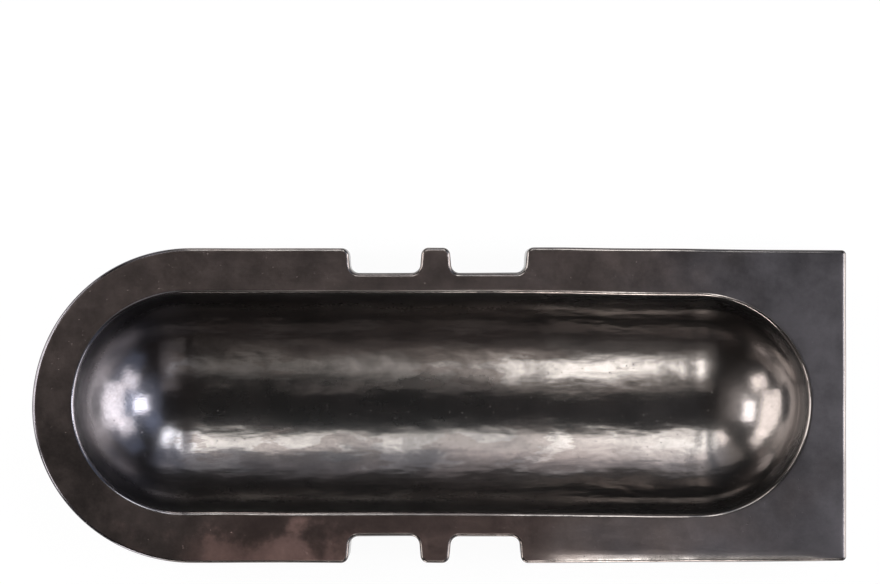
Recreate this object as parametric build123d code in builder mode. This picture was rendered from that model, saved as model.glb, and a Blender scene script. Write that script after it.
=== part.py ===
from build123d import *
from math import atan2, degrees
import os

# Long ikebana suiban in slab-built stoneware.
#
# A flat rim with two notches and a tab on each long side carries a trough-shaped basin.
# The hollow body under the rim follows the same outline down to a base on four feet.
# Every clay piece that the potter cuts, bends or presses is a solid of its own.
#
# Frame: +X towards the square end, +Y towards the rear, +Z up.
# Origin: centre of the outline, on the surface that the feet stand on.
# All lengths are in millimetres.

# Outline of the vessel in plan: the long sides close in a little before the square end
length = 560.0
width = 217.0
square_end_narrowing = 3.0
closing_in_length = 195.0
square_corner_round = 3.0

# Rim slab: its thickness, and its widths between the outline and the opening
rim_thickness = 11.0
rim_arris = 1.6
round_end_rim = 26.0
square_end_rim = 23.2
rear_rim = 28.0
front_rim = 31.0

# Lip of the opening: rolled over, then straight for a moment before the basin curves in
lip_round = 3.0
lip_straight = 0.5

# Basin: its section is a basket arch, with a wide arc for the floor and a smaller one up
# each side, and its ends are the same arch turned about. It is set a little into the base
basin_drop = 61.0
basin_side_round = 48.0
basin_wall = 7.0
basin_seat_depth = 1.0

# Walls of the hollow body, and the gaps beside the basin behind the recesses
wall = 8.0
recess_wall = 6.0
rear_basin_gap = 0.7
front_basin_gap = 3.0

# Notches and tabs: the mouths are measured at the long sides, and the draft is what each
# side of a notch leans in by between its mouth and its floor
tab_offset = 2.6
tab_tip_width = 19.2
notch_draft = 1.5
notch_mouth_round = 5.0
notch_floor_round = 6.0
rear_left_notch_width = 50.7
rear_right_notch_width = 53.0
front_left_notch_width = 50.5
front_right_notch_width = 49.8

# Base slab with its vents
base_thickness = 8.5
vent_radius = 5.0
vent_to_side = 46.0

# Feet: knife-cut bars with their corners and lower edges taken off
foot_height = 6.0
foot_length = 46.0
foot_width = 24.0
foot_corner_cut = 6.0
foot_arris = 1.5
foot_to_round_end = 85.0
foot_to_square_end = 62.0
foot_to_side = 46.0

# Cuts run this far past what they cut, and points this close are the same point
overrun = 10.0
same_point = 0.01

# Opening in the rim, and the basin under it
lip_drop = lip_round + lip_straight
opening_offset = (front_rim - rear_rim) / 2
basin_radius = (width - rear_rim - front_rim) / 2 - lip_round

# Arcs of the basket arch: where the side arc's middle is, and the floor arc that meets it
# with no corner
side_arc_y = basin_radius - basin_side_round
basin_floor_round = (side_arc_y**2 + basin_drop**2 - basin_side_round**2) / (
    (basin_drop - basin_side_round) * 2
)
floor_arc_z = basin_floor_round - basin_drop
side_arc_degrees = degrees(atan2(floor_arc_z, side_arc_y))

# Levels, from the table up
base_underside = foot_height
base_top = base_underside + base_thickness
basin_axis_z = base_top - basin_seat_depth + basin_wall + basin_drop
rim_top = basin_axis_z + lip_drop
rim_underside = rim_top - rim_thickness
wall_height = rim_underside - base_top

# Places along the vessel, from the round end to the square one
round_tip_x = -length / 2
round_x = round_tip_x + width / 2
basin_round_x = round_tip_x + round_end_rim + lip_round + basin_radius
square_x = length / 2
basin_square_x = square_x - square_end_rim - lip_round - basin_radius
closing_in_x = square_x - closing_in_length

# Places across the vessel
side_y = width / 2
square_side_y = side_y - square_end_narrowing / 2
past_y = side_y + overrun

# Edges of the tab, at the same place on both long sides
tab_left_x = -tab_offset - tab_tip_width / 2
tab_right_x = -tab_offset + tab_tip_width / 2

# Each long side: its direction from the middle, its notches' floor and their mouths
long_sides = {
    "rear": {
        "sign": 1,
        "floor_y": opening_offset + basin_radius + basin_wall + rear_basin_gap + recess_wall,
        "mouths": [
            (tab_left_x - rear_left_notch_width, tab_left_x),
            (tab_right_x, tab_right_x + rear_right_notch_width),
        ],
    },
    "front": {
        "sign": -1,
        "floor_y": basin_radius + basin_wall + front_basin_gap + recess_wall - opening_offset,
        "mouths": [
            (tab_left_x - front_left_notch_width, tab_left_x),
            (tab_right_x, tab_right_x + front_right_notch_width),
        ],
    },
}


def at_points(points):
    """The corners of the sketch being drawn that stand at the given points."""
    return [
        corner
        for corner in vertices()
        if any((Vector(corner) - Vector(*point)).length < same_point for point in points)
    ]


def body_outline(inset):
    """Half circle at one end, square at the other, drawn in from the outside by an inset."""
    side = side_y - inset
    square_side = square_side_y - inset
    end = square_x - inset
    with BuildLine() as outline:
        ThreePointArc((round_x, -side), (round_tip_x + inset, 0), (round_x, side))
        Polyline(
            (round_x, side),
            (closing_in_x, side),
            (end, square_side),
            (end, -square_side),
            (closing_in_x, -side),
            (round_x, -side),
        )
    make_face(outline.edges())


def cut_notch(sign, floor_y, mouth):
    """One notch: straight sides that lean in to a flat floor, with rounded corners."""
    low, high = mouth
    mouth_corners = [(low, sign * side_y), (high, sign * side_y)]
    floor_corners = [
        (low + notch_draft, sign * floor_y),
        (high - notch_draft, sign * floor_y),
    ]
    with BuildLine() as outline:
        Polyline(
            mouth_corners[0],
            floor_corners[0],
            floor_corners[1],
            mouth_corners[1],
            (high, sign * past_y),
            (low, sign * past_y),
            close=True,
        )
    make_face(outline.edges(), mode=Mode.SUBTRACT)
    fillet(at_points(mouth_corners), notch_mouth_round)
    fillet(at_points(floor_corners), notch_floor_round)


def plan_box(x_limits, y_limits, mode):
    """A rectangle between two x values and two y values."""
    x_low, x_high = x_limits
    y_low, y_high = min(y_limits), max(y_limits)
    with Locations(((x_low + x_high) / 2, (y_low + y_high) / 2)):
        Rectangle(x_high - x_low, y_high - y_low, mode=mode)


def recess_limits(side):
    """From where the recess with both notches of a long side starts to where it ends."""
    return side["mouths"][0][0] - wall, side["mouths"][1][1] + wall


def trough(thickness, mode=Mode.ADD):
    """Basket-arch trough under the basin's axis level, grown outwards by a thickness."""
    side_round = basin_side_round + thickness
    floor_round = basin_floor_round + thickness
    arch_plane = Plane(
        origin=(basin_round_x, opening_offset, basin_axis_z), x_dir=(0, 1, 0), z_dir=(1, 0, 0)
    )
    with BuildSketch(arch_plane) as half_arch:
        with BuildLine():
            CenterArc((side_arc_y, 0), side_round, 0, -side_arc_degrees)
            CenterArc((0, floor_arc_z), floor_round, -side_arc_degrees, side_arc_degrees - 90)
            Polyline((0, floor_arc_z - floor_round), (0, 0), (side_arc_y + side_round, 0))
        make_face()
    with BuildSketch(arch_plane) as whole_arch:
        add(half_arch.sketch_local)
        mirror(about=Plane.YZ)
    straight = basin_square_x - basin_round_x
    extrude(whole_arch.sketch, amount=straight, mode=mode)
    for moved, turn in ((0, 1), (straight, -1)):
        end_axis = Axis((basin_round_x + moved, opening_offset, 0), (0, 0, turn))
        half_face = Pos(moved, 0, 0) * half_arch.sketch
        revolve(half_face, axis=end_axis, revolution_arc=180, mode=mode)


def save(builder, name):
    """Label a finished piece and write its file."""
    builder.part.label = name
    export_step(builder.part, f"parts/{name}.step")


os.makedirs("parts", exist_ok=True)

# Plan of the vessel: the outline with its notches cut
with BuildSketch() as vessel_plan:
    body_outline(0)
    fillet(
        at_points([(square_x, square_side_y), (square_x, -square_side_y)]),
        square_corner_round,
    )
    for long_side in long_sides.values():
        for mouth in long_side["mouths"]:
            cut_notch(long_side["sign"], long_side["floor_y"], mouth)

# Plan of the walls: the outline less the hollow, which stands back from the recesses
with BuildSketch() as hollow_plan:
    body_outline(wall)
    for long_side in long_sides.values():
        inner_y = long_side["sign"] * (long_side["floor_y"] - recess_wall)
        outer_y = long_side["sign"] * past_y
        plan_box(recess_limits(long_side), (inner_y, outer_y), Mode.SUBTRACT)
with BuildSketch() as wall_plan:
    add(vessel_plan.sketch)
    add(hollow_plan.sketch, mode=Mode.SUBTRACT)

# Rim slab: the opening's lip is rolled over, and its inner wall carries on the basin's
with BuildPart() as rim_slab:
    with BuildSketch(Plane.XY.offset(rim_underside)):
        add(vessel_plan.sketch)
    extrude(amount=rim_thickness)
    with BuildSketch(Plane.XY.offset(basin_axis_z)):
        with Locations(((basin_round_x + basin_square_x) / 2, opening_offset)):
            SlotCenterToCenter(basin_square_x - basin_round_x, basin_radius + basin_radius)
    extrude(amount=lip_drop, mode=Mode.SUBTRACT)
    trough(0, Mode.SUBTRACT)
    chamfer(rim_slab.faces().sort_by(Axis.Z)[-1].outer_wire().edges(), rim_arris)
    fillet(rim_slab.faces().sort_by(Axis.Z)[-1].inner_wires()[0].edges(), lip_round)
save(rim_slab, "rim_slab")

# Basin: a pressed shell, cut level under the rim and paddled flat where it is luted
# to the base
with BuildPart() as basin:
    trough(basin_wall)
    trough(0, Mode.SUBTRACT)
    split(bisect_by=Plane.XY.offset(rim_underside), keep=Keep.BOTTOM)
    split(bisect_by=Plane.XY.offset(base_top), keep=Keep.TOP)
save(basin, "basin")

# Base slab: a vent on each side of the basin's seat lets the hollow body breathe
with BuildPart() as base_slab:
    with BuildSketch(Plane.XY.offset(base_underside)):
        add(vessel_plan.sketch)
    extrude(amount=base_thickness)
    vent_y = side_y - vent_to_side
    with Locations((0, vent_y, base_top), (0, -vent_y, base_top)):
        Hole(vent_radius)
save(base_slab, "base_slab")


def make_wall(name, x_limits, y_limits):
    """One wall piece: what the wall plan has between two x and two y values, set upright."""
    with BuildPart() as piece:
        with BuildSketch(Plane.XY.offset(base_top)):
            add(wall_plan.sketch)
            plan_box(x_limits, y_limits, Mode.INTERSECT)
        extrude(amount=wall_height)
    save(piece, name)


# Ends
make_wall("round_end_wall", (round_tip_x - overrun, round_x), (-past_y, past_y))
make_wall("square_end_wall", (square_x - wall, square_x + overrun), (-past_y, past_y))

# Long sides: a wall, a cheek, the tab, a cheek and a wall, with one wall behind the recess
for side_name, long_side in long_sides.items():
    outer_y = long_side["sign"] * past_y
    floor_y = long_side["sign"] * long_side["floor_y"]
    recess_start, recess_end = recess_limits(long_side)
    notch_middles = [sum(mouth) / 2 for mouth in long_side["mouths"]]
    make_wall(f"{side_name}_left_wall", (round_x, recess_start), (0, outer_y))
    make_wall(f"{side_name}_left_cheek", (recess_start, notch_middles[0]), (floor_y, outer_y))
    make_wall(f"{side_name}_tab", notch_middles, (floor_y, outer_y))
    make_wall(f"{side_name}_right_cheek", (notch_middles[1], recess_end), (floor_y, outer_y))
    make_wall(f"{side_name}_right_wall", (recess_end, square_x - wall), (0, outer_y))
    make_wall(f"{side_name}_recess_wall", (recess_start, recess_end), (0, floor_y))

# Feet: one under each corner of the hollow body
foot_y = side_y - foot_to_side
foot_places = {
    "round_rear_foot": (round_tip_x + foot_to_round_end, foot_y),
    "round_front_foot": (round_tip_x + foot_to_round_end, -foot_y),
    "square_rear_foot": (square_x - foot_to_square_end, foot_y),
    "square_front_foot": (square_x - foot_to_square_end, -foot_y),
}
for foot_name, foot_place in foot_places.items():
    with BuildPart() as foot:
        with BuildSketch(Plane.XY):
            with Locations(foot_place):
                Rectangle(foot_length, foot_width)
            chamfer(vertices(), foot_corner_cut)
        extrude(amount=foot_height)
        chamfer(foot.faces().sort_by(Axis.Z)[0].outer_wire().edges(), foot_arris)
    save(foot, foot_name)

basin_depth = lip_drop + basin_drop
print(f"height over the rim {rim_top:.1f} mm, basin {basin_depth:.1f} mm deep")
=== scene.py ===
from math import asin, atan2, cos, exp, pi, radians, sin, tan

import bmesh
import bpy
from bpy.props import FloatProperty, FloatVectorProperty, IntProperty, PointerProperty
from mathutils import Matrix, Vector, noise


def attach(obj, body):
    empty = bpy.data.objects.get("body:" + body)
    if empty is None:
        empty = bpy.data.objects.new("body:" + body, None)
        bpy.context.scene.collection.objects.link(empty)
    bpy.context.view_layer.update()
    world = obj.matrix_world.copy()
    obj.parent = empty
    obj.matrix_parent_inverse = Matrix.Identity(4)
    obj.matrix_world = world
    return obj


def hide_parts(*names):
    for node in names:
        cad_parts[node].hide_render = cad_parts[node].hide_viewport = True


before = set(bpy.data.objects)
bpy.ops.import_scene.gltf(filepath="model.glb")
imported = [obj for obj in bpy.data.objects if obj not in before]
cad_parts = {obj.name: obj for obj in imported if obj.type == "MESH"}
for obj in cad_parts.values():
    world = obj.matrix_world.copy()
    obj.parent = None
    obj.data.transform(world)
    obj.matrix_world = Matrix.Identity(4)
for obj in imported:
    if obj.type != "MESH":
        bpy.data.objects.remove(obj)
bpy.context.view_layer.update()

bl_info = {
    "name": "Ikebana suiban",
    "version": (1, 0, 0),
    "blender": (4, 5, 0),
    "location": "View3D > Sidebar > Suiban",
    "description": "Dresses a slab-built suiban with a notched rim and a trough-shaped basin",
    "category": "Object",
}


# Points this close, in metres, are the same point
SAME_POINT = 1e-7

# Steps round each corner of the outline
CORNER_STEPS = 8

# Edges that turn by less than this many degrees are shaded as one smooth skin
SMOOTH_TURN = 32

# Where the pattern of the dents starts, so that the dents don't follow the waves
DENT_START = Vector((7, 3, 5))


# Sizes and colours that a user would change


def length_of(name, default, about):
    """A property for a length in metres."""
    return FloatProperty(
        name=name, description=about, default=default, unit="LENGTH", subtype="DISTANCE"
    )


def colour_of(name, default, about):
    """A property for a colour."""
    return FloatVectorProperty(
        name=name, description=about, default=default, size=3, min=0, max=1, subtype="COLOR"
    )


class SuibanSizes(bpy.types.PropertyGroup):
    length: length_of("Length", 0.56, "Round end to square end")
    width: length_of("Width", 0.217, "Rear side to front side")
    square_end_narrowing: length_of("Narrowing", 0.003, "How much narrower the square end is")
    closing_in_length: length_of("Closing in", 0.195, "Length over which the sides close in")
    square_corner_round: length_of("Square corner", 0.003, "Radius of the square end's corners")
    rim_thickness: length_of("Rim thickness", 0.011, "Thickness of the rim slab")
    rim_edge_round: length_of("Rim edge", 0.0022, "Radius of the rim's outer edge")
    round_end_rim: length_of("Rim, round end", 0.026, "Rim width at the round end")
    square_end_rim: length_of("Rim, square end", 0.0232, "Rim width at the square end")
    rear_rim: length_of("Rim, rear", 0.028, "Rim width along the rear side")
    front_rim: length_of("Rim, front", 0.031, "Rim width along the front side")
    lip_round: length_of("Lip", 0.003, "Radius of the lip round the opening")
    lip_straight: length_of("Lip drop", 0.0005, "Straight drop between lip and basin")
    basin_drop: length_of("Basin drop", 0.061, "From the end of the lip down to the basin's floor")
    basin_side_round: length_of("Basin side", 0.048, "Radius of the arcs up the basin's sides")
    basin_wall: length_of("Basin wall", 0.007, "Thickness of the basin")
    basin_seat_depth: length_of("Basin seat", 0.001, "How deep the basin is set into the base")
    wall: length_of("Wall", 0.008, "Thickness of the walls")
    recess_wall: length_of("Recess wall", 0.006, "Thickness of the wall behind the notches")
    rear_basin_gap: length_of("Rear gap", 0.0007, "Gap between basin and rear recess wall")
    front_basin_gap: length_of("Front gap", 0.003, "Gap between basin and front recess wall")
    tab_offset: length_of("Tab offset", 0.0026, "How far the tabs stand towards the round end")
    tab_tip_width: length_of("Tab width", 0.0192, "Width of a tab at its tip")
    notch_draft: length_of("Notch draft", 0.0015, "How much each side of a notch leans in")
    notch_mouth_round: length_of("Notch mouth", 0.005, "Radius at the mouth of a notch")
    notch_floor_round: length_of("Notch floor", 0.006, "Radius at the floor of a notch")
    rear_left_notch: length_of("Rear left notch", 0.0507, "Width of its mouth")
    rear_right_notch: length_of("Rear right notch", 0.053, "Width of its mouth")
    front_left_notch: length_of("Front left notch", 0.0505, "Width of its mouth")
    front_right_notch: length_of("Front right notch", 0.0498, "Width of its mouth")
    base_thickness: length_of("Base", 0.0085, "Thickness of the base slab")
    base_edge_round: length_of("Base edge", 0.0012, "Radius of the base's lower edge")
    vent_radius: length_of("Vent", 0.005, "Radius of a firing vent")
    vent_to_side: length_of("Vent to side", 0.046, "Distance from a vent to the side")
    foot_height: length_of("Foot height", 0.006, "Height of a foot")
    foot_length: length_of("Foot length", 0.046, "Length of a foot")
    foot_width: length_of("Foot width", 0.024, "Width of a foot")
    foot_corner_cut: length_of("Foot corner", 0.006, "Cut at a foot's corners")
    foot_arris: length_of("Foot arris", 0.0015, "Cut at a foot's lower edge")
    foot_to_round_end: length_of("Foot to round end", 0.085, "Foot's middle to the round end")
    foot_to_square_end: length_of("Foot to square end", 0.062, "Foot's middle to the square end")
    foot_to_side: length_of("Foot to side", 0.046, "Foot's middle to the long side")
    wave_length: length_of("Wave length", 0.13, "Length of the slow waves left by the hands")
    wave_height: length_of("Wave height", 0.0006, "Height of the slow waves")
    dent_length: length_of("Dent length", 0.045, "Length of the paddled dents")
    dent_height: length_of("Dent height", 0.0003, "Height of the paddled dents")
    seam_height: length_of("Seam height", 0.0004, "Height of the seams across the basin")
    seam_width: length_of("Seam width", 0.0065, "Half width of those seams")
    round_seam_shift: length_of("Round seam shift", 0.0022, "How far it lies from the joint")
    square_seam_shift: length_of("Square seam shift", 0.001, "How far it lies from the joint")
    seam_to_middle: length_of("Seam to middle", 0.022, "From the seams' highest spot to the spine")
    seam_reach: length_of("Seam reach", 0.014, "How far the seams reach to both sides of that spot")
    sag_width: length_of("Sag width", 0.009, "Width of the front edge's worn-down stretch")
    sag_depth: length_of("Sag depth", 0.0013, "How far that stretch is worn down")
    rear_draw: length_of("Rear draw", 0.0006, "How far the rear lip was drawn in")
    rear_right_draw: length_of("Rear right draw", 0.0018, "More of it by the square end")
    front_draw: length_of("Front draw", 0.0012, "How far the front lip was drawn in, round end")
    spacing: length_of("Spacing", 0.0026, "Distance between points along an edge")
    arc_steps: IntProperty(name="Arc steps", description="Steps round a half circle", default=120)
    hand_seed: IntProperty(
        name="Hand", description="Waves and dents of another hand", default=1, min=1
    )


class SuibanColours(bpy.types.PropertyGroup):
    bronze: colour_of("Bronze", (0.103, 0.079, 0.072), "Satin glaze on the rim, warm part")
    gunmetal: colour_of("Gunmetal", (0.061, 0.055, 0.059), "Satin glaze on the rim, cool part")
    iron_red: colour_of("Iron red", (0.225, 0.14, 0.122), "Reddish break of the glaze")
    film: colour_of("Film", (0.088, 0.07, 0.064), "Brown film on the polished glaze")
    iron_brown: colour_of("Iron brown", (0.088, 0.058, 0.051), "Brown satin glaze at the front")
    pooled: colour_of("Pooled glaze", (0.128, 0.112, 0.105), "Polished glaze where it runs thick")
    # Partly a cool glaze tint, partly a painted bluish reflection at the round end of the basin
    pooled_blue_and_painted_reflection: colour_of("Blue pool", (0.117, 0.109, 0.119), "Pooled glaze at the round end")
    clay: colour_of("Clay", (0.115, 0.078, 0.058), "Bare stoneware")
    clay_grog: colour_of("Grog", (0.3, 0.24, 0.19), "Light grains in the clay")
    floor: colour_of("Floor", (0.9, 0.9, 0.9), "Table top")


# Places and levels that follow from the sizes


class Plan:
    """Where the parts of the vessel lie, worked out from its sizes."""

    def __init__(self, sizes):
        s = self.sizes = sizes
        self.middle_y = (s.front_rim - s.rear_rim) / 2
        self.basin_radius = (s.width - s.rear_rim - s.front_rim) / 2 - s.lip_round
        self.base_top = s.foot_height + s.base_thickness
        self.axis_z = self.base_top - s.basin_seat_depth + s.basin_wall + s.basin_drop
        self.side_arc_y = self.basin_radius - s.basin_side_round
        reach = self.side_arc_y**2 + s.basin_drop**2 - s.basin_side_round**2
        self.floor_round = reach / (s.basin_drop - s.basin_side_round) / 2
        self.floor_arc_z = self.floor_round - s.basin_drop
        self.side_arc = atan2(self.floor_arc_z, self.side_arc_y)
        self.rim_top = self.axis_z + s.lip_round + s.lip_straight
        self.rim_underside = self.rim_top - s.rim_thickness
        self.side_y = s.width / 2
        self.square_side_y = self.side_y - s.square_end_narrowing / 2
        self.square_x = s.length / 2
        self.round_x = self.side_y - self.square_x
        self.closing_in_x = self.square_x - s.closing_in_length
        reach = s.lip_round + self.basin_radius
        self.basin_round_x = s.round_end_rim + reach - self.square_x
        self.basin_square_x = self.square_x - s.square_end_rim - reach
        tab_left = -s.tab_offset - s.tab_tip_width / 2
        tab_right = -s.tab_offset + s.tab_tip_width / 2
        shell = self.basin_radius + s.basin_wall + s.recess_wall
        self.floors = {
            "rear": self.middle_y + shell + s.rear_basin_gap,
            "front": self.middle_y - shell - s.front_basin_gap,
        }
        self.mouths = {
            "rear": [
                (tab_left - s.rear_left_notch, tab_left),
                (tab_right, tab_right + s.rear_right_notch),
            ],
            "front": [
                (tab_left - s.front_left_notch, tab_left),
                (tab_right, tab_right + s.front_right_notch),
            ],
        }

    def signs(self):
        """Each long side with its direction from the middle."""
        return (("rear", 1), ("front", -1))

    def recess(self, side):
        """From where the recess of a long side starts to where it ends."""
        mouths = self.mouths[side]
        return mouths[0][0] - self.sizes.wall, mouths[1][1] + self.sizes.wall

    def outline_side(self, side, sign):
        """Corners of one long side from the round end on, each with its radius."""
        s = self.sizes
        floor_y = self.floors[side]
        corners = [(self.round_x, sign * self.side_y, 0)]
        for low, high in self.mouths[side]:
            corners += [
                (low, sign * self.side_y, s.notch_mouth_round),
                (low + s.notch_draft, floor_y, s.notch_floor_round),
                (high - s.notch_draft, floor_y, s.notch_floor_round),
                (high, sign * self.side_y, s.notch_mouth_round),
            ]
        corners += [
            (self.closing_in_x, sign * self.side_y, 0),
            (self.square_x, sign * self.square_side_y, s.square_corner_round),
        ]
        return corners

    def hollow_side(self, side, sign):
        """Corners of the hollow along one long side, standing back from the recess."""
        wall = self.sizes.wall
        start, end = self.recess(side)
        inner_y = self.floors[side] - sign * self.sizes.recess_wall
        return [
            (self.round_x, sign * (self.side_y - wall), 0),
            (start, sign * (self.side_y - wall), 0),
            (start, inner_y, 0),
            (end, inner_y, 0),
            (end, sign * (self.side_y - wall), 0),
            (self.closing_in_x, sign * (self.side_y - wall), 0),
            (self.square_x - wall, sign * (self.square_side_y - wall), 0),
        ]

    def arch(self, angle, thickness=0.0):
        """Half the width and the level of the basin where it faces an angle below level."""
        if angle < self.side_arc:
            reach = self.sizes.basin_side_round + thickness
            return self.side_arc_y + reach * cos(angle), self.axis_z - reach * sin(angle)
        reach = self.floor_round + thickness
        return reach * cos(angle), self.axis_z + self.floor_arc_z - reach * sin(angle)

    def arch_angle(self, z, thickness=0.0):
        """The angle below level that the basin faces at a level."""
        drop = self.axis_z - z
        side_angle = asin(min(drop / (self.sizes.basin_side_round + thickness), 1))
        if side_angle < self.side_arc:
            return side_angle
        return asin((drop + self.floor_arc_z) / (self.floor_round + thickness))

    def beside_basin(self, place, radius):
        """The point on the opening, at a radius from the basin's spine, nearest to a place."""
        x = min(max(place.x, self.basin_round_x), self.basin_square_x)
        spine = Vector((x, self.middle_y, 0))
        away = Vector((place.x, place.y, 0)) - spine
        return spine + away.normalized() * radius


# Clay work: shapes drawn with bmesh


def ease(value, low, high):
    """0 below a low value, 1 above a high one, and smooth between."""
    share = min(max((value - low) / (high - low), 0), 1)
    return share * share * (3 - 2 * share)


def hand_shift(sizes, place):
    """How far the potter's hands left a point from its drawn place."""
    hold = ease(place.z, sizes.foot_height, sizes.foot_height + sizes.rim_thickness)
    wave = noise.noise_vector(place / sizes.wave_length) * sizes.wave_height
    dent = noise.noise_vector(place / sizes.dent_length + DENT_START) * sizes.dent_height
    return (wave + dent) * hold


def basin_seam(plan, place):
    """How far the smoothed seam between the basin's trough and an end stands up."""
    s = plan.sizes
    inside = ease(place.z, plan.base_top, plan.axis_z - s.basin_drop)
    joints = (plan.basin_round_x + s.round_seam_shift, plan.basin_square_x + s.square_seam_shift)
    away = min(abs(place.x - joint) for joint in joints) / s.seam_width
    beside = (place.y - plan.middle_y + s.seam_to_middle) / s.seam_reach
    return Vector((0, 0, s.seam_height * inside * exp(-(away**2) - beside**2)))


def worn_edge(plan, place):
    """How far the rim's front edge is worn down near the square end."""
    s = plan.sizes
    start = plan.mouths["front"][1][1]
    along = ease(place.x, start, start + s.rear_rim)
    along *= ease(-place.x, -plan.square_x, s.front_rim - plan.square_x)
    near = ease(-place.y, plan.side_y - s.sag_width, plan.side_y)
    level = max(place.z - plan.rim_underside, 0) / s.rim_thickness
    return Vector((0, 0, -s.sag_depth * along * near * level))


def drawn_lip(plan, place):
    """How far the potter drew the lip inwards from the line it was cut on."""
    s = plan.sizes
    away = place - plan.beside_basin(place, 0)
    beyond = Vector((away.x, away.y)).length - plan.basin_radius - s.lip_round
    hold = ease(place.z, plan.base_top, plan.axis_z)
    hold *= 1 - ease(beyond, s.lip_round, s.square_end_rim)
    right = ease(place.x, 0, plan.basin_square_x)
    rear = ease(away.y, 0, plan.basin_radius) * (s.rear_draw + s.rear_right_draw * right)
    front = ease(-away.y, 0, plan.basin_radius) * s.front_draw * (1 - right)
    return Vector((0, (front - rear) * hold, 0))


def at_level(place, z):
    """A place in plan at a level."""
    return Vector((place.x, place.y, z))


def edges_of(found):
    """The edges in an operator's answer."""
    return [part for part in found if isinstance(part, bmesh.types.BMEdge)]


def verts_of(found):
    """The points in an operator's answer."""
    return [part for part in found if isinstance(part, bmesh.types.BMVert)]


def walk(edges):
    """The points of a closed loop of edges, in order."""
    first = edges[0]
    points = [first.verts[0]]
    edge, point = first, first.verts[1]
    loop = set(edges)
    while point is not points[0]:
        points.append(point)
        edge = next(e for e in point.link_edges if e in loop and e is not edge)
        point = edge.other_vert(point)
    return points


def divide(bm, edges, spacing):
    """Cuts each edge into pieces of about one spacing, and returns them all."""
    by_cuts = {}
    for edge in edges:
        by_cuts.setdefault(int(edge.calc_length() / spacing), []).append(edge)
    whole = list(by_cuts.pop(0, []))
    for cuts, group in by_cuts.items():
        ends = bmesh.ops.subdivide_edges(bm, edges=group, cuts=cuts)
        whole += edges_of(ends["geom_split"])
    return list(dict.fromkeys(edge for edge in whole if edge.is_valid))


def spin_chain(bm, start, middle, steps):
    """The points of a half turn from a start point round a middle, in order."""
    old = set(start.link_edges)
    bmesh.ops.spin(
        bm,
        geom=[start],
        cent=middle,
        axis=(0, 0, 1),
        angle=pi,
        steps=steps,
        use_merge=False,
    )
    chain = []
    edge = next(edge for edge in start.link_edges if edge not in old)
    here = edge.other_vert(start)
    while here:
        chain.append(here)
        onward = [e for e in here.link_edges if e is not edge]
        edge = onward[0] if onward else None
        here = edge.other_vert(here) if edge else None
    return chain


def draw_loop(bm, front, rear, z, arc_steps, spacing):
    """A closed loop along the front, the square end and the rear, and by a spin round the
    round end. Its corners are rounded while it is a face."""
    corners = front + rear[::-1]
    points = [bm.verts.new((x, y, z)) for x, y, _ in corners]
    arc = spin_chain(bm, points[-1], (points[0].co + points[-1].co) / 2, arc_steps)
    face = bm.faces.new(points + arc[:-1])
    bmesh.ops.delete(bm, geom=[arc[-1]], context="VERTS")
    turns = {}
    for v in face.verts:
        for x, y, round_ in corners:
            at_corner = abs(v.co.x - x) < SAME_POINT and abs(v.co.y - y) < SAME_POINT
            if round_ and at_corner:
                turn = v.calc_edge_angle()
                turns.setdefault(round(round_ * tan(turn / 2), 6), []).append(v)
    for offset, group in turns.items():
        bmesh.ops.bevel(
            bm,
            geom=group,
            offset=offset,
            offset_type="OFFSET",
            segments=CORNER_STEPS,
            profile=0.5,
            affect="VERTICES",
            material=-1,
        )
    face = next(f for f in bm.faces if len(f.verts) > arc_steps)
    edges = list(face.edges)
    bmesh.ops.delete(bm, geom=[face], context="FACES_ONLY")
    return divide(bm, edges, spacing)


def note_outward(bm, edges):
    """Keeps on each point of a loop its place in plan and the way out from there."""
    place = bm.verts.layers.float_vector.new("place")
    outward = bm.verts.layers.float_vector.new("outward")
    points = walk(edges)
    pairs = zip(points, points[1:] + points[:1])
    turn = sum(a.co.x * b.co.y - b.co.x * a.co.y for a, b in pairs)
    side = 1 if turn > 0 else -1
    for index, point in enumerate(points):
        along = points[(index + 1) % len(points)].co - points[index - 1].co
        point[place] = point.co
        point[outward] = Vector((along.y, -along.x, 0)).normalized() * side
    return place, outward


def next_ring(bm, ring, put):
    """A copy of a ring, joined to it by faces, with each point put in its place."""
    grown = bmesh.ops.extrude_edge_only(bm, edges=ring)["geom"]
    for point in verts_of(grown):
        point.co = put(point)
    return [edge for edge in edges_of(grown) if edge.is_boundary]


def fill_flat(bm, edges):
    """A flat sheet between loops that lie in one plane."""
    bmesh.ops.triangle_fill(bm, use_beauty=True, use_dissolve=False, edges=edges)


def cut_edges(bm, edges, width, steps):
    """Takes each edge off by a width, flat or in steps."""
    bmesh.ops.bevel(
        bm, geom=edges, offset=width, segments=steps, profile=0.5, affect="EDGES", material=-1
    )


def upright_edges(bm, least):
    """The edges that rise by more than a least height."""
    return [e for e in bm.edges if abs(e.verts[0].co.z - e.verts[1].co.z) > least]


def make_piece(bm, name, node, finish, sizes):
    """Gives the finished clay its marks of the hand and turns it into an object."""
    bmesh.ops.remove_doubles(bm, verts=bm.verts, dist=SAME_POINT)
    bmesh.ops.recalc_face_normals(bm, faces=bm.faces)
    for face in bm.faces:
        face.smooth = True
    for edge in bm.edges:
        edge.smooth = edge.calc_face_angle(pi) < radians(SMOOTH_TURN)
    plan = Plan(sizes)
    noise.seed_set(sizes.hand_seed)
    for point in bm.verts:
        shift = hand_shift(sizes, point.co) + worn_edge(plan, point.co)
        if node in ("rim_slab", "basin"):
            shift += drawn_lip(plan, point.co)
        if node == "basin":
            shift += basin_seam(plan, point.co)
        point.co += shift
    mesh = bpy.data.meshes.new(name)
    bm.to_mesh(mesh)
    bm.free()
    mesh.materials.append(finish)
    piece = bpy.data.objects.new(name, mesh)
    bpy.context.collection.objects.link(piece)
    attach(piece, "root")
    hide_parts(node)
    return piece


# Materials


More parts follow.
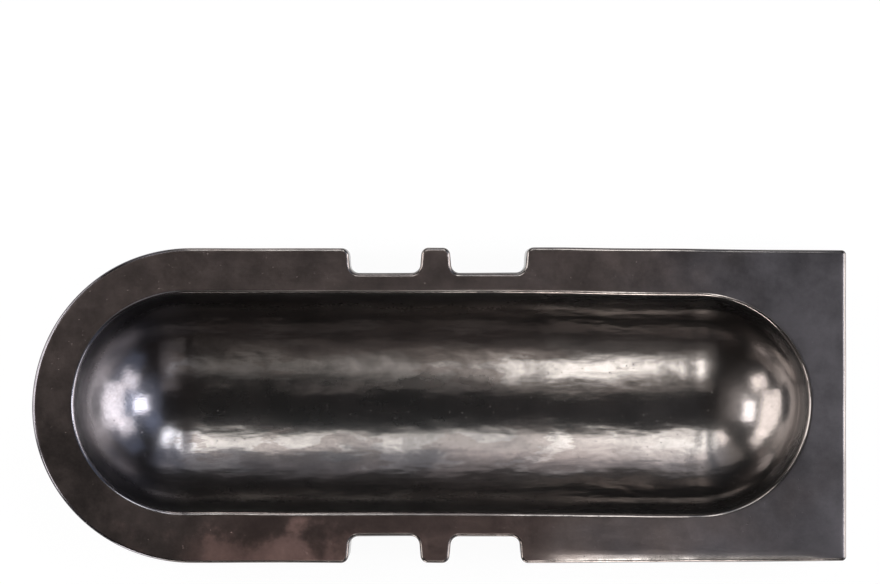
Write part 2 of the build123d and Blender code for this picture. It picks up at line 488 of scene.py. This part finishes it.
class Socket:
    """One socket in a node tree: an expression on it adds the Math nodes."""

    def __init__(self, nodes, socket):
        self.nodes, self.socket = nodes, socket

    def _sum(self, operation, *values):
        return self.nodes.node("Math", {"operation": operation}, *values)

    def __add__(self, other):
        return self._sum("ADD", self, other)

    def __sub__(self, other):
        return self._sum("SUBTRACT", self, other)

    def __rsub__(self, other):
        return self._sum("SUBTRACT", other, self)

    def __mul__(self, other):
        return self._sum("MULTIPLY", self, other)

    __radd__ = __add__


class Nodes:
    """The node tree of one material, which starts with its shader."""

    def __init__(self, name):
        self.material = bpy.data.materials.new(name)
        self.material.use_nodes = True
        self.tree = self.material.node_tree
        self.shader = self.tree.nodes["Principled BSDF"]

    def node(self, kind, settings, *values, output=0, **named):
        """Adds a node, sets it up, and gives it its values or links."""
        node = self.tree.nodes.new("ShaderNode" + kind)
        for key, value in settings.items():
            setattr(node, key, value)
        for key, value in list(enumerate(values)) + list(named.items()):
            self.feed(node.inputs[key], value)
        return Socket(self, node.outputs[output])

    def feed(self, target, value):
        """Links a socket to another, or sets its value."""
        if isinstance(value, Socket):
            self.tree.links.new(value.socket, target)
        elif value is not None:
            target.default_value = value

    def place(self, stretch=(1, 1, 1)):
        """The place on the object in metres, stretched for a pattern that runs one way."""
        spot = self.node("TexCoord", {}, output="Object")
        return self.node("Mapping", {}, Vector=spot, Scale=stretch)

    def cloud(self, place, per_metre, detail, rough=0.5):
        """Soft noise from 0 to 1, with so many waves to the metre."""
        return self.node(
            "TexNoise", {}, Vector=place, Scale=per_metre, Detail=detail, Roughness=rough
        )

    def mask(self, value, low, high):
        """0 below a low value, 1 above a high one, and smooth between."""
        return self.node(
            "MapRange", {"interpolation_type": "SMOOTHSTEP"}, value, low, high, 0.0, 1.0
        )

    def blend(self, mask, first, second):
        """One colour turning into another where the mask is 1."""
        skipped = [None] * 5
        return self.node(
            "Mix", {"data_type": "RGBA"}, mask, *skipped, first, second, output=2
        )

    def bump(self, height, distance, under=None):
        """Relief of so many metres from a height between 0 and 1."""
        given = {"Height": height, "Distance": distance, "Strength": 1.0}
        if under is not None:
            given["Normal"] = under
        return self.node("Bump", {}, **given)


def four(colour):
    """A colour with its alpha."""
    return (*colour, 1)


def bronze_glaze(colours):
    """Dark metallic glaze: satin on the rim, polished where it pools and on the edges."""
    n = Nodes("bronze_glaze")
    spot = n.place()
    x, y, z = (n.node("SeparateXYZ", {}, spot, output=i) for i in range(3))
    facing = n.node("SeparateXYZ", {}, n.node("TexCoord", {}, output="Normal"), output=2)
    slow = n.cloud(spot, 14, 3)
    patch = n.cloud(spot, 42, 4, 0.6)
    fine = n.cloud(spot, 420, 3, 0.6)
    drift, ragged, speckle = slow - 0.5, patch - 0.5, fine - 0.5
    to_front, to_left = y * -1, x * -1
    drifting_x = x + drift * 0.1

    # Areas of the vessel, from places and levels in metres: 1 inside and 0 outside
    rim = n.mask(z, 0.08, 0.082) * n.mask(facing, 0.965, 0.995)
    inside = 1 - rim
    high = n.mask(z, 0.036, 0.07)
    under_lip = 1 - n.mask(z, 0.078, 0.081)
    thin = high * under_lip * (1 - n.mask(x, 0.05, 0.12) * 0.85)
    end = n.mask(n.node("Math", {"operation": "ABSOLUTE"}, x), 0.17, 0.2)
    spine = (1 - n.mask(z, 0.0215, 0.0238)) * (1 - n.mask(x, -0.02, 0.08))
    far_left = 1 - n.mask(x + drift * 0.15, -0.25, -0.17)

    # Satin colours of the rim: cool by the square end, brown and red along the front
    cool = n.mask(x + drift * 0.3, 0.06, 0.24)
    satin = n.blend(cool, four(colours.bronze), four(colours.gunmetal))
    brown = n.mask(to_front, 0.05, 0.08) * n.mask(x, -0.2, -0.12)
    brown = brown * (1 - n.mask(drifting_x, 0.05, 0.09)) * 0.85
    satin = n.blend(brown, satin, four(colours.iron_brown))
    front = n.mask(to_front + ragged * 0.06, 0.08, 0.1)
    left = n.mask(drifting_x, -0.2, -0.15) * (1 - n.mask(drifting_x, -0.09, -0.05))
    breaks = n.mask(patch + slow, 0.9, 1.15) * (1 - n.mask(x, -0.04, 0.0)) * 0.5
    satin = n.blend(front * (left + breaks), satin, four(colours.iron_red))

    # Polished colours of the basin: blue by the round end, partly a glaze tint and partly a painted
    # bluish reflection, with a torn brown film
    blue = n.mask(to_left + drift * 0.05, 0.165, 0.2)
    pool = n.blend(blue, four(colours.pooled), four(colours.pooled_blue_and_painted_reflection))
    film = n.mask(n.cloud(n.place((0.4, 1, 1)), 34, 5, 0.62), 0.5, 0.54)
    film = film * (1 - end * 0.85) * (1 - n.mask(x, 0.08, 0.14) * 0.6)
    pool = n.blend(film * 0.65, pool, four(colours.film))
    colour = n.blend(rim, pool, satin)

    # How light the glaze is
    shade = n.mask(patch * 0.6 + slow * 0.4, 0.32, 0.68) * 0.5 + 0.72 + speckle * 0.3
    # Painted shade: the rim is made darker towards the round end, most along the front half
    shade = shade - rim * far_left * (n.mask(to_front, -0.06, 0.0) * 0.3 + 0.04)
    # Painted sheen: the rim is made lighter at the front, from the middle towards the square end
    shade = shade + rim * n.mask(x, 0.04, 0.12) * n.mask(to_front, 0.04, 0.09) * 0.35
    # Painted shade: the basin's floor along its spine, on the round end's half, is darkened for the
    # dark overhead it mirrors; the steep upper walls under the lip are darker too
    shade = shade * (1 - thin * 0.3) * (1 - spine * 0.4)
    colour = n.node("VectorMath", {"operation": "SCALE"}, colour, Scale=shade)
    n.feed(n.shader.inputs["Base Color"], colour)
    n.shader.inputs["Metallic"].default_value = 1

    # How rough it is, and the soft coat that gives the lights their glow
    rough = 0.17 + rim * 0.21 + thin * 0.19 - high * 0.03 + film * inside * 0.03
    rough = rough + ragged * 0.1 + speckle * 0.06
    rough = rough - n.mask(z, 0.034, 0.05) * inside * n.mask(x, 0.03, 0.1) * 0.05
    n.feed(n.shader.inputs["Roughness"], rough)
    n.feed(n.shader.inputs["Coat Weight"], 0.48 - rim * 0.2 - blue * inside * 0.25)
    n.shader.inputs["Coat IOR"].default_value = 1.5
    n.shader.inputs["Coat Roughness"].default_value = 0.36

    # Relief, from the widest marks to the smallest, and pinholes in one cell of five
    dents = n.cloud(n.place((0.5, 1, 1)), 46, 3, 0.4) * (1 - end * 0.75)
    strokes = n.cloud(n.place((0.14, 1, 1)), 260, 3)
    grain = n.cloud(spot, 1100, 1)
    cells_per_metre = 420.0
    holes = n.node("TexVoronoi", {}, Vector=spot, Scale=cells_per_metre)
    chosen = n.node("TexVoronoi", {}, Vector=spot, Scale=cells_per_metre, output=1)
    chosen = n.mask(n.node("SeparateXYZ", {}, chosen), 0.8, 0.82)
    pits = chosen * (1 - n.mask(holes + fine * 0.3, 0.15, 0.35))
    relief = n.bump(dents, 0.0012)
    relief = n.bump(strokes, 0.00007, under=relief)
    relief = n.bump(grain, 0.000015, under=relief)
    relief = n.bump(1 - pits, 0.00012, under=relief)
    n.feed(n.shader.inputs["Normal"], relief)
    return n.material


def bare_stoneware(colours):
    """Unglazed stoneware with light grains."""
    n = Nodes("bare_stoneware")
    spot = n.place()
    slow = n.cloud(spot, 30, 3)
    fine = n.cloud(spot, 900, 4, 0.7)
    grains = n.node("TexVoronoi", {}, Vector=spot, Scale=650.0)
    grog = 1 - n.mask(grains + slow * 0.25, 0.16, 0.3)
    colour = n.blend(grog * 0.6, four(colours.clay), four(colours.clay_grog))
    shade = 0.75 + slow * 0.3 + fine * 0.2
    n.feed(
        n.shader.inputs["Base Color"],
        n.node("VectorMath", {"operation": "SCALE"}, colour, Scale=shade),
    )
    n.feed(n.shader.inputs["Roughness"], 0.72 + fine * 0.2)
    relief = n.bump(fine, 0.0002)
    relief = n.bump(grog, 0.00015, under=relief)
    n.feed(n.shader.inputs["Normal"], relief)
    return n.material


def finish_of(name):
    """The material of that name, made when it is first asked for."""
    makers = {"bronze_glaze": bronze_glaze, "bare_stoneware": bare_stoneware}
    return bpy.data.materials.get(name) or makers[name](bpy.context.scene.suiban_colours)


# Operators: one for each piece or group of like pieces


class SUIBAN_OT_rim_slab(bpy.types.Operator):
    """Flat notched rim with its rolled lip and the upper edge of the basin's opening"""

    bl_idname = "suiban.rim_slab"
    bl_label = "Rim slab"

    def execute(self, context):
        s = context.scene.suiban_sizes
        plan = Plan(s)
        bm = bmesh.new()
        foot = draw_loop(
            bm,
            plan.outline_side("front", -1),
            plan.outline_side("rear", 1),
            plan.rim_underside,
            s.arc_steps,
            s.spacing,
        )
        place, outward = note_outward(bm, foot)
        ring = foot
        edge_z = plan.rim_top - s.rim_edge_round
        side_height = edge_z - plan.rim_underside

        def raised(z, inset=0.0):
            return lambda point: at_level(point[place] - point[outward] * inset, z)

        for share in (0.07, 0.3, 0.65, 1):
            ring = next_ring(bm, ring, raised(plan.rim_underside + side_height * share))
        steps = 7
        for step in range(1, steps + 1):
            angle = pi / 2 * step / steps
            inset = s.rim_edge_round * (1 - cos(angle))
            ring = next_ring(bm, ring, raised(edge_z + s.rim_edge_round * sin(angle), inset))

        lip_radius = plan.basin_radius + s.lip_round

        def across(share):
            def put(point):
                start = point[place] - point[outward] * s.rim_edge_round
                end = plan.beside_basin(start, lip_radius)
                return at_level(start.lerp(end, share), plan.rim_top)

            return put

        def down(radius, z):
            def put(point):
                start = point[place] - point[outward] * s.rim_edge_round
                return at_level(plan.beside_basin(start, radius), z)

            return put

        shares = [0.04] + [step / 10 for step in range(1, 10)] + [0.96, 1]
        for share in shares:
            ring = next_ring(bm, ring, across(share))
        for step in range(1, steps + 1):
            angle = pi / 2 * step / steps
            radius = lip_radius - s.lip_round * sin(angle)
            ring = next_ring(bm, ring, down(radius, plan.rim_top - s.lip_round * (1 - cos(angle))))
        depth = plan.axis_z - plan.rim_underside
        for share in (0, 0.25, 0.5, 0.75, 0.93, 1):
            z = plan.axis_z - depth * share
            ring = next_ring(bm, ring, down(plan.arch(plan.arch_angle(z))[0], z))
        bmesh.ops.bridge_loops(bm, edges=foot + ring)
        make_piece(bm, "notched_rim", "rim_slab", finish_of("bronze_glaze"), s)
        return {"FINISHED"}


class SUIBAN_OT_basin(bpy.types.Operator):
    """Deep trough with rounded ends, smoothed inside and plain outside"""

    bl_idname = "suiban.basin"
    bl_label = "Basin"

    def execute(self, context):
        s = context.scene.suiban_sizes
        plan = Plan(s)
        bm = bmesh.new()
        first = plan.arch_angle(plan.rim_underside)
        mouth = self.stadium(bm, plan, plan.arch(first)[0], plan.rim_underside)

        def put(radius, z):
            return lambda point: at_level(plan.beside_basin(point.co, radius), z)

        # Inside, from just under the mouth down to the floor
        ring = mouth
        rows = 44
        for row in range(rows):
            angle = first + (pi / 2 - first) * (row or 0.1) / rows
            ring = next_ring(bm, ring, put(*plan.arch(angle)))
        floor_z = plan.axis_z - s.basin_drop
        ring = next_ring(bm, ring, put(s.basin_wall / 20, floor_z))
        ring = next_ring(bm, ring, put(0.0, floor_z))
        # Outside, from the mouth down to the base slab
        ring = mouth
        levels = 8
        for level in range(levels + 1):
            z = plan.rim_underside + (plan.base_top - plan.rim_underside) * level / levels
            angle = plan.arch_angle(z, s.basin_wall)
            ring = next_ring(bm, ring, put(*plan.arch(angle, s.basin_wall)))
        bmesh.ops.holes_fill(bm, edges=ring, sides=0)
        make_piece(bm, "trough_basin", "basin", finish_of("bronze_glaze"), s)
        return {"FINISHED"}

    def stadium(self, bm, plan, radius, z):
        """A loop of two half circles and two straight sides round the basin's spine."""
        s = plan.sizes
        start = bm.verts.new((plan.basin_round_x, plan.middle_y + radius, z))
        middle = Vector((plan.basin_round_x, plan.middle_y, z))
        low = spin_chain(bm, start, middle, s.arc_steps)[-1]
        other = bmesh.ops.extrude_vert_indiv(bm, verts=[low])["verts"][0]
        other.co.x = middle.x = plan.basin_square_x
        high = spin_chain(bm, other, middle, s.arc_steps)[-1]
        bm.edges.new((high, start))
        return divide(bm, list(bm.edges), s.spacing * 1.5)


def wall_pieces(plan):
    """Each wall piece with the x and y limits that cut it from the wall."""
    s = plan.sizes
    far = s.length
    end_x = plan.square_x - s.wall
    pieces = {
        "round_end_wall": ((-far, plan.round_x), (-far, far)),
        "square_end_wall": ((end_x, far), (-far, far)),
    }
    hair = s.basin_seat_depth / 40
    for side, sign in plan.signs():
        start, end = plan.recess(side)
        middles = [(low + high) / 2 for low, high in plan.mouths[side]]
        floor_y = plan.floors[side] + sign * hair
        outer = (floor_y, sign * far)
        whole = (0, sign * far)
        pieces[side + "_left_wall"] = ((plan.round_x, start), whole)
        pieces[side + "_left_cheek"] = ((start, middles[0]), outer)
        pieces[side + "_tab"] = (tuple(middles), outer)
        pieces[side + "_right_cheek"] = ((middles[1], end), outer)
        pieces[side + "_right_wall"] = ((end, end_x), whole)
        pieces[side + "_recess_wall"] = ((start, end), (0, floor_y))
    return pieces


def cut_clay(bm, place, facing):
    """Cuts the clay at a plane, takes away what lies beyond it, and closes the cut."""
    bmesh.ops.bisect_plane(
        bm,
        geom=bm.verts[:] + bm.edges[:] + bm.faces[:],
        dist=SAME_POINT,
        plane_co=place,
        plane_no=facing,
        clear_outer=True,
    )
    open_edges = [edge for edge in bm.edges if edge.is_boundary]
    if open_edges:
        bmesh.ops.holes_fill(bm, edges=open_edges, sides=0)


class SUIBAN_OT_walls(bpy.types.Operator):
    """Ends, long sides, cheeks, tabs and recess walls of the hollow body"""

    bl_idname = "suiban.walls"
    bl_label = "Walls"

    def execute(self, context):
        s = context.scene.suiban_sizes
        plan = Plan(s)
        body = bmesh.new()
        outer = draw_loop(
            body,
            plan.outline_side("front", -1),
            plan.outline_side("rear", 1),
            plan.base_top,
            s.arc_steps,
            s.spacing,
        )
        inner = draw_loop(
            body,
            plan.hollow_side("front", -1),
            plan.hollow_side("rear", 1),
            plan.base_top,
            s.arc_steps // 2,
            s.length,
        )
        height = plan.rim_underside - plan.base_top
        levels = [0.01, 0.05] + [step / 11 for step in range(1, 11)] + [0.95, 0.99, 1]
        tops = []
        for loop, shares in ((outer, levels), (inner, [1])):
            ring = loop
            for share in shares:
                z = plan.base_top + height * share
                ring = next_ring(body, ring, lambda p: Vector((p.co.x, p.co.y, z)))
            tops += ring
        fill_flat(body, outer + inner)
        fill_flat(body, tops)
        bmesh.ops.recalc_face_normals(body, faces=body.faces)
        for name, (x_limits, y_limits) in wall_pieces(plan).items():
            bm = body.copy()
            for limits, axis in ((x_limits, Vector((1, 0, 0))), (y_limits, Vector((0, 1, 0)))):
                low, high = min(limits), max(limits)
                if high < s.length:
                    cut_clay(bm, axis * high, axis)
                if low > -s.length:
                    cut_clay(bm, axis * low, -axis)
            make_piece(bm, name + "_slab", name, finish_of("bronze_glaze"), s)
        body.free()
        return {"FINISHED"}


class SUIBAN_OT_base_slab(bpy.types.Operator):
    """Base slab with its softened lower edge and two firing vents"""

    bl_idname = "suiban.base_slab"
    bl_label = "Base slab"

    def execute(self, context):
        s = context.scene.suiban_sizes
        plan = Plan(s)
        bm = bmesh.new()
        loop = draw_loop(
            bm,
            plan.outline_side("front", -1),
            plan.outline_side("rear", 1),
            s.foot_height,
            s.arc_steps,
            s.spacing,
        )
        place, outward = note_outward(bm, loop)
        low_edge = s.foot_height + s.base_edge_round

        def put(z, inset=0.0):
            return lambda point: at_level(point[place] - point[outward] * inset, z)

        steps = 4
        for point in walk(loop):
            point.co = put(s.foot_height, s.base_edge_round)(point)
        ring = loop
        for step in range(1, steps + 1):
            angle = pi / 2 * step / steps
            z = low_edge - s.base_edge_round * cos(angle)
            ring = next_ring(bm, ring, put(z, s.base_edge_round * (1 - sin(angle))))
        for share in (0.3, 0.6, 0.9, 1):
            ring = next_ring(bm, ring, put(low_edge + (plan.base_top - low_edge) * share))
        lower, upper = list(loop), list(ring)
        vent_y = plan.side_y - s.vent_to_side
        for y in (vent_y, -vent_y):
            circle = bmesh.ops.create_circle(
                bm,
                segments=32,
                radius=s.vent_radius,
                matrix=Matrix.Translation((0, y, s.foot_height)),
            )["verts"]
            rim = list(dict.fromkeys(edge for vert in circle for edge in vert.link_edges))
            lower += rim
            upper += next_ring(bm, rim, lambda p: Vector((p.co.x, p.co.y, plan.base_top)))
        fill_flat(bm, lower)
        fill_flat(bm, upper)
        make_piece(bm, "vented_base", "base_slab", finish_of("bare_stoneware"), s)
        return {"FINISHED"}


class SUIBAN_OT_feet(bpy.types.Operator):
    """Four knife-cut clay feet"""

    bl_idname = "suiban.feet"
    bl_label = "Feet"

    def execute(self, context):
        s = context.scene.suiban_sizes
        plan = Plan(s)
        foot_y = plan.side_y - s.foot_to_side
        arris_steps = 3
        for end, x in (
            ("round", s.foot_to_round_end - plan.square_x),
            ("square", plan.square_x - s.foot_to_square_end),
        ):
            for side, sign in plan.signs():
                bm = bmesh.new()
                middle = Matrix.Translation((x, sign * foot_y, s.foot_height / 2))
                size = Matrix.Diagonal((s.foot_length, s.foot_width, s.foot_height, 1))
                bmesh.ops.create_cube(bm, size=1, matrix=middle @ size)
                cut_edges(bm, upright_edges(bm, s.foot_arris), s.foot_corner_cut, 1)
                low = [e for e in bm.edges if max(v.co.z for v in e.verts) < s.foot_arris]
                cut_edges(bm, low, s.foot_arris, arris_steps)
                cut_edges(bm, upright_edges(bm, s.foot_arris * 2), s.foot_arris, arris_steps)
                name = f"{end}_{side}_foot"
                make_piece(bm, name + "_clay", name, finish_of("bare_stoneware"), s)
        return {"FINISHED"}


class SUIBAN_OT_stage(bpy.types.Operator):
    """White table, studio lights and the camera straight above"""

    bl_idname = "suiban.stage"
    bl_label = "Stage"

    def execute(self, context):
        scene = context.scene
        scene.view_settings.view_transform = "Standard"
        self.floor(scene.suiban_colours)
        self.world(scene)
        self.lights(Plan(scene.suiban_sizes))
        self.camera(scene, Plan(scene.suiban_sizes))
        return {"FINISHED"}

    def floor(self, colours):
        """A table top that looks plain white and still takes a little of the shadow."""
        bm = bmesh.new()
        half_width = 3
        bmesh.ops.create_grid(bm, x_segments=2, y_segments=2, size=half_width)
        mesh = bpy.data.meshes.new("table")
        bm.to_mesh(mesh)
        bm.free()
        n = Nodes("table")
        n.feed(n.shader.inputs["Base Color"], four(colours.floor))
        n.shader.inputs["Roughness"].default_value = 0.6
        rays = ("Is Camera Ray", "Is Glossy Ray", "Is Transmission Ray")
        seen = n.node("LightPath", {}, output=rays[0])
        for ray in rays[1:]:
            seen = n.node(
                "Math", {"operation": "MAXIMUM"}, seen, n.node("LightPath", {}, output=ray)
            )
        white = n.node("Emission", {}, (1, 1, 1, 1), 1.0)
        plain_share = 0.95
        shadowed = Socket(n, n.shader.outputs[0])
        mixed = n.node("MixShader", {}, seen * plain_share, shadowed, white)
        n.feed(n.tree.nodes["Material Output"].inputs["Surface"], mixed)
        mesh.materials.append(n.material)
        table = bpy.data.objects.new("table", mesh)
        bpy.context.collection.objects.link(table)

    def world(self, scene):
        """A dim warm room, white where the camera sees it."""
        world = scene.world or bpy.data.worlds.new("studio")
        scene.world = world
        world.use_nodes = True
        tree = world.node_tree
        tree.nodes.clear()
        path = tree.nodes.new("ShaderNodeLightPath")
        room = tree.nodes.new("ShaderNodeBackground")
        room.inputs["Color"].default_value = (1, 0.77, 0.67, 1)
        room.inputs["Strength"].default_value = 0.04
        white = tree.nodes.new("ShaderNodeBackground")
        white.inputs["Color"].default_value = (1, 1, 1, 1)
        white.inputs["Strength"].default_value = 1
        mix = tree.nodes.new("ShaderNodeMixShader")
        out = tree.nodes.new("ShaderNodeOutputWorld")
        tree.links.new(path.outputs["Is Camera Ray"], mix.inputs[0])
        tree.links.new(room.outputs[0], mix.inputs[1])
        tree.links.new(white.outputs[0], mix.inputs[2])
        tree.links.new(mix.outputs[0], out.inputs[0])

    def lights(self, plan):
        """Softboxes, each turned to the spot on the basin that mirrors it to the camera."""
        cream, pale, white = (1, 0.98, 0.96), (0.95, 1, 0.99), (0.94, 0.97, 1)
        sky, dusk = (0.72, 0.82, 1), (0.6, 0.74, 1)
        boxes = (
            # name, spot along the basin, way and tilt from overhead in degrees, distance,
            # width, height, radiance, colour, and the angle that its grid lets through
            ("rear_strip_low", 0.16, 90, 51, 1.3, 0.2, 0.34, 4.4, cream, 30),
            ("rear_haze", 0.0, 90, 53, 1.3, 0.8, 0.9, 0.44, sky, 80),
            ("rear_wide_haze", 0.0, 90, 56, 1.4, 1.2, 1.4, 0.2, sky, 110),
            ("front_haze", 0.09, 270, 46, 1.35, 0.55, 0.8, 0.36, cream, 60),
            ("front_near_haze", 0.16, 270, 33, 1.35, 0.36, 0.8, 0.7, cream, 56),
            ("round_end_spot", 0.217, 173, 52, 1.3, 0.4, 0.24, 8.0, white, 180),
            ("round_end_small_spot", 0.22, 198, 65, 1.3, 0.22, 0.34, 6.5, cream, 180),
            ("round_end_window", 0.2, 172, 76, 1.3, 0.8, 0.56, 4.4, cream, 180),
            ("round_end_glow", 0.217, 178, 52, 1.3, 0.7, 0.9, 0.8, cream, 60),
            ("round_end_window_front", 0.2, 150, 70, 1.3, 0.3, 0.3, 3.5, cream, 180),
            ("rear_narrow_spot", -0.187, 68, 33, 1.3, 0.24, 0.36, 7.0, pale, 20),
            ("rear_low_haze", 0.12, 90, 66, 1.3, 0.3, 0.26, 0.9, cream, 60),
            ("rear_side_haze", 0.19, 120, 58, 1.3, 0.5, 0.6, 0.8, cream, 70),
            ("rear_lip_strip", -0.17, 90, 82, 1.3, 0.24, 0.3, 8.0, cream, 24),
            ("front_lip_strip", 0.17, 270, 81, 1.3, 0.24, 0.32, 28.0, cream, 20),
            ("front_side_lip_strip", 0.2, 240, 85, 1.3, 0.6, 0.24, 18.0, cream, 60),
            ("front_high_haze", 0.09, 270, 15, 1.35, 0.44, 0.2, 0.55, cream, 180),
            ("round_end_far_strip", 0.193, 125, 41, 1.36, 0.2, 0.32, 6.0, cream, 36),
            ("round_end_haze", 0.2, 180, 38, 1.4, 2.6, 0.9, 0.36, cream, 60),
            ("square_end_spot", -0.209, 2, 44, 1.3, 0.29, 0.33, 11.0, white, 180),
            ("square_end_window", -0.2, 1, 77, 1.3, 0.8, 0.74, 8.8, cream, 60),
            ("square_end_window_front", -0.2, -22, 59, 1.3, 0.36, 0.4, 4.8, cream, 50),
            ("square_end_window_rear", -0.2, 20, 63, 1.3, 0.32, 0.4, 4.6, cream, 50),
            ("square_end_glow", -0.209, 0, 53, 1.3, 0.45, 0.46, 1.3, dusk, 60),
            ("square_end_side_haze", -0.18, 32, 36, 1.3, 0.6, 0.5, 0.9, dusk, 30),
            ("square_end_haze", -0.2, 0, 68, 1.4, 2.6, 1.0, 0.46, dusk, 180),
            ("square_end_high_haze", -0.2, 0, 38, 1.4, 2.4, 0.9, 0.6, dusk, 60),
        )
        for box in boxes:
            self.softbox(plan, *box)
        distance = 1.3
        rear_width, rear_height, rear_grid = 0.047, 0.39, 70
        rear_strip = (5.2, 7.4, 7.2, 3.2, 1.0, 1.3, 2.3, 5.2, 8.2, 8.6, 4.4, 2.0)
        for index, radiance in enumerate(rear_strip):
            name = f"rear_strip_{index + 1}"
            place = rear_width * (index - 4.5)
            tilt = 37.3 - 0.14 * max(0, index - 5)
            size = (rear_width, rear_height)
            self.softbox(plan, name, place, 90, tilt, distance, *size, radiance, pale, rear_grid)
        front_width = 0.045
        front_strip = (0.45, 0.6, 0.58, 0.55, 0.52, 0.54, 0.65, 1.0, 3.0, 11.5, 15.0, 2.0)
        for index, radiance in enumerate(front_strip):
            name = f"front_strip_{index + 1}"
            place = -0.2775 + front_width * index
            tilt, height, grid = (33, 0.42, 42) if index < 7 else (31.6, 0.64, 30)
            size = (front_width, height)
            self.softbox(plan, name, place, 270, tilt, distance, *size, radiance, pale, grid)

    def softbox(
        self, plan, name, along, way, tilt, distance, width, height, radiance, colour, grid
    ):
        """A plain rectangle of light that faces a spot over the basin's floor.

        A grid under 180 degrees narrows its light and leaves it as bright to look at."""
        way, tilt = radians(way), radians(tilt)
        out = Vector((cos(way) * sin(tilt), sin(way) * sin(tilt), cos(tilt)))
        light = bpy.data.lights.new(name, "AREA")
        light.shape = "RECTANGLE"
        light.size, light.size_y = width, height
        energy_per_area = 4
        light.energy = radiance * width * height * energy_per_area
        if grid < 180:
            half = radians(grid) / 2
            light.spread = half * 2
            light.energy *= 1 - half / tan(half)
        light.color = colour
        lamp = bpy.data.objects.new(name, light)
        spot_level = 0.6
        spot = Vector((along, 0, plan.axis_z * spot_level))
        turn = out.to_track_quat("Z", "Y").to_matrix().to_4x4()
        lamp.matrix_world = Matrix.Translation(spot + out * distance) @ turn
        lamp.visible_camera = False
        bpy.context.collection.objects.link(lamp)

    def camera(self, scene, plan):
        """Looks straight down from far above, with the vessel low in the picture."""
        data = bpy.data.cameras.new("camera")
        data.sensor_width = 36
        distance, seen_width = 4.0, 0.6053
        aim_x, aim_y = 0.0004, 0.078
        data.lens = data.sensor_width * distance / seen_width
        data.clip_end = 100
        data.dof.use_dof = False
        camera = bpy.data.objects.new("camera", data)
        camera.location = (aim_x, aim_y, plan.rim_top + distance)
        bpy.context.collection.objects.link(camera)
        scene.camera = camera


class SUIBAN_PT_panel(bpy.types.Panel):
    """Lists the pieces of the suiban"""

    bl_idname = "SUIBAN_PT_panel"
    bl_label = "Suiban"
    bl_space_type = "VIEW_3D"
    bl_region_type = "UI"
    bl_category = "Suiban"

    def draw(self, context):
        for operator in OPERATORS:
            self.layout.operator(operator.bl_idname)


OPERATORS = (
    SUIBAN_OT_rim_slab,
    SUIBAN_OT_basin,
    SUIBAN_OT_walls,
    SUIBAN_OT_base_slab,
    SUIBAN_OT_feet,
    SUIBAN_OT_stage,
)
CLASSES = (SuibanSizes, SuibanColours, *OPERATORS, SUIBAN_PT_panel)


def register():
    for kind in CLASSES:
        bpy.utils.register_class(kind)
    bpy.types.Scene.suiban_sizes = PointerProperty(type=SuibanSizes)
    bpy.types.Scene.suiban_colours = PointerProperty(type=SuibanColours)


def unregister():
    del bpy.types.Scene.suiban_colours
    del bpy.types.Scene.suiban_sizes
    for kind in reversed(CLASSES):
        bpy.utils.unregister_class(kind)


def main():
    register()
    bpy.ops.suiban.rim_slab()
    bpy.ops.suiban.basin()
    bpy.ops.suiban.walls()
    bpy.ops.suiban.base_slab()
    bpy.ops.suiban.feet()
    bpy.ops.suiban.stage()


if __name__ == "__main__":
    main()
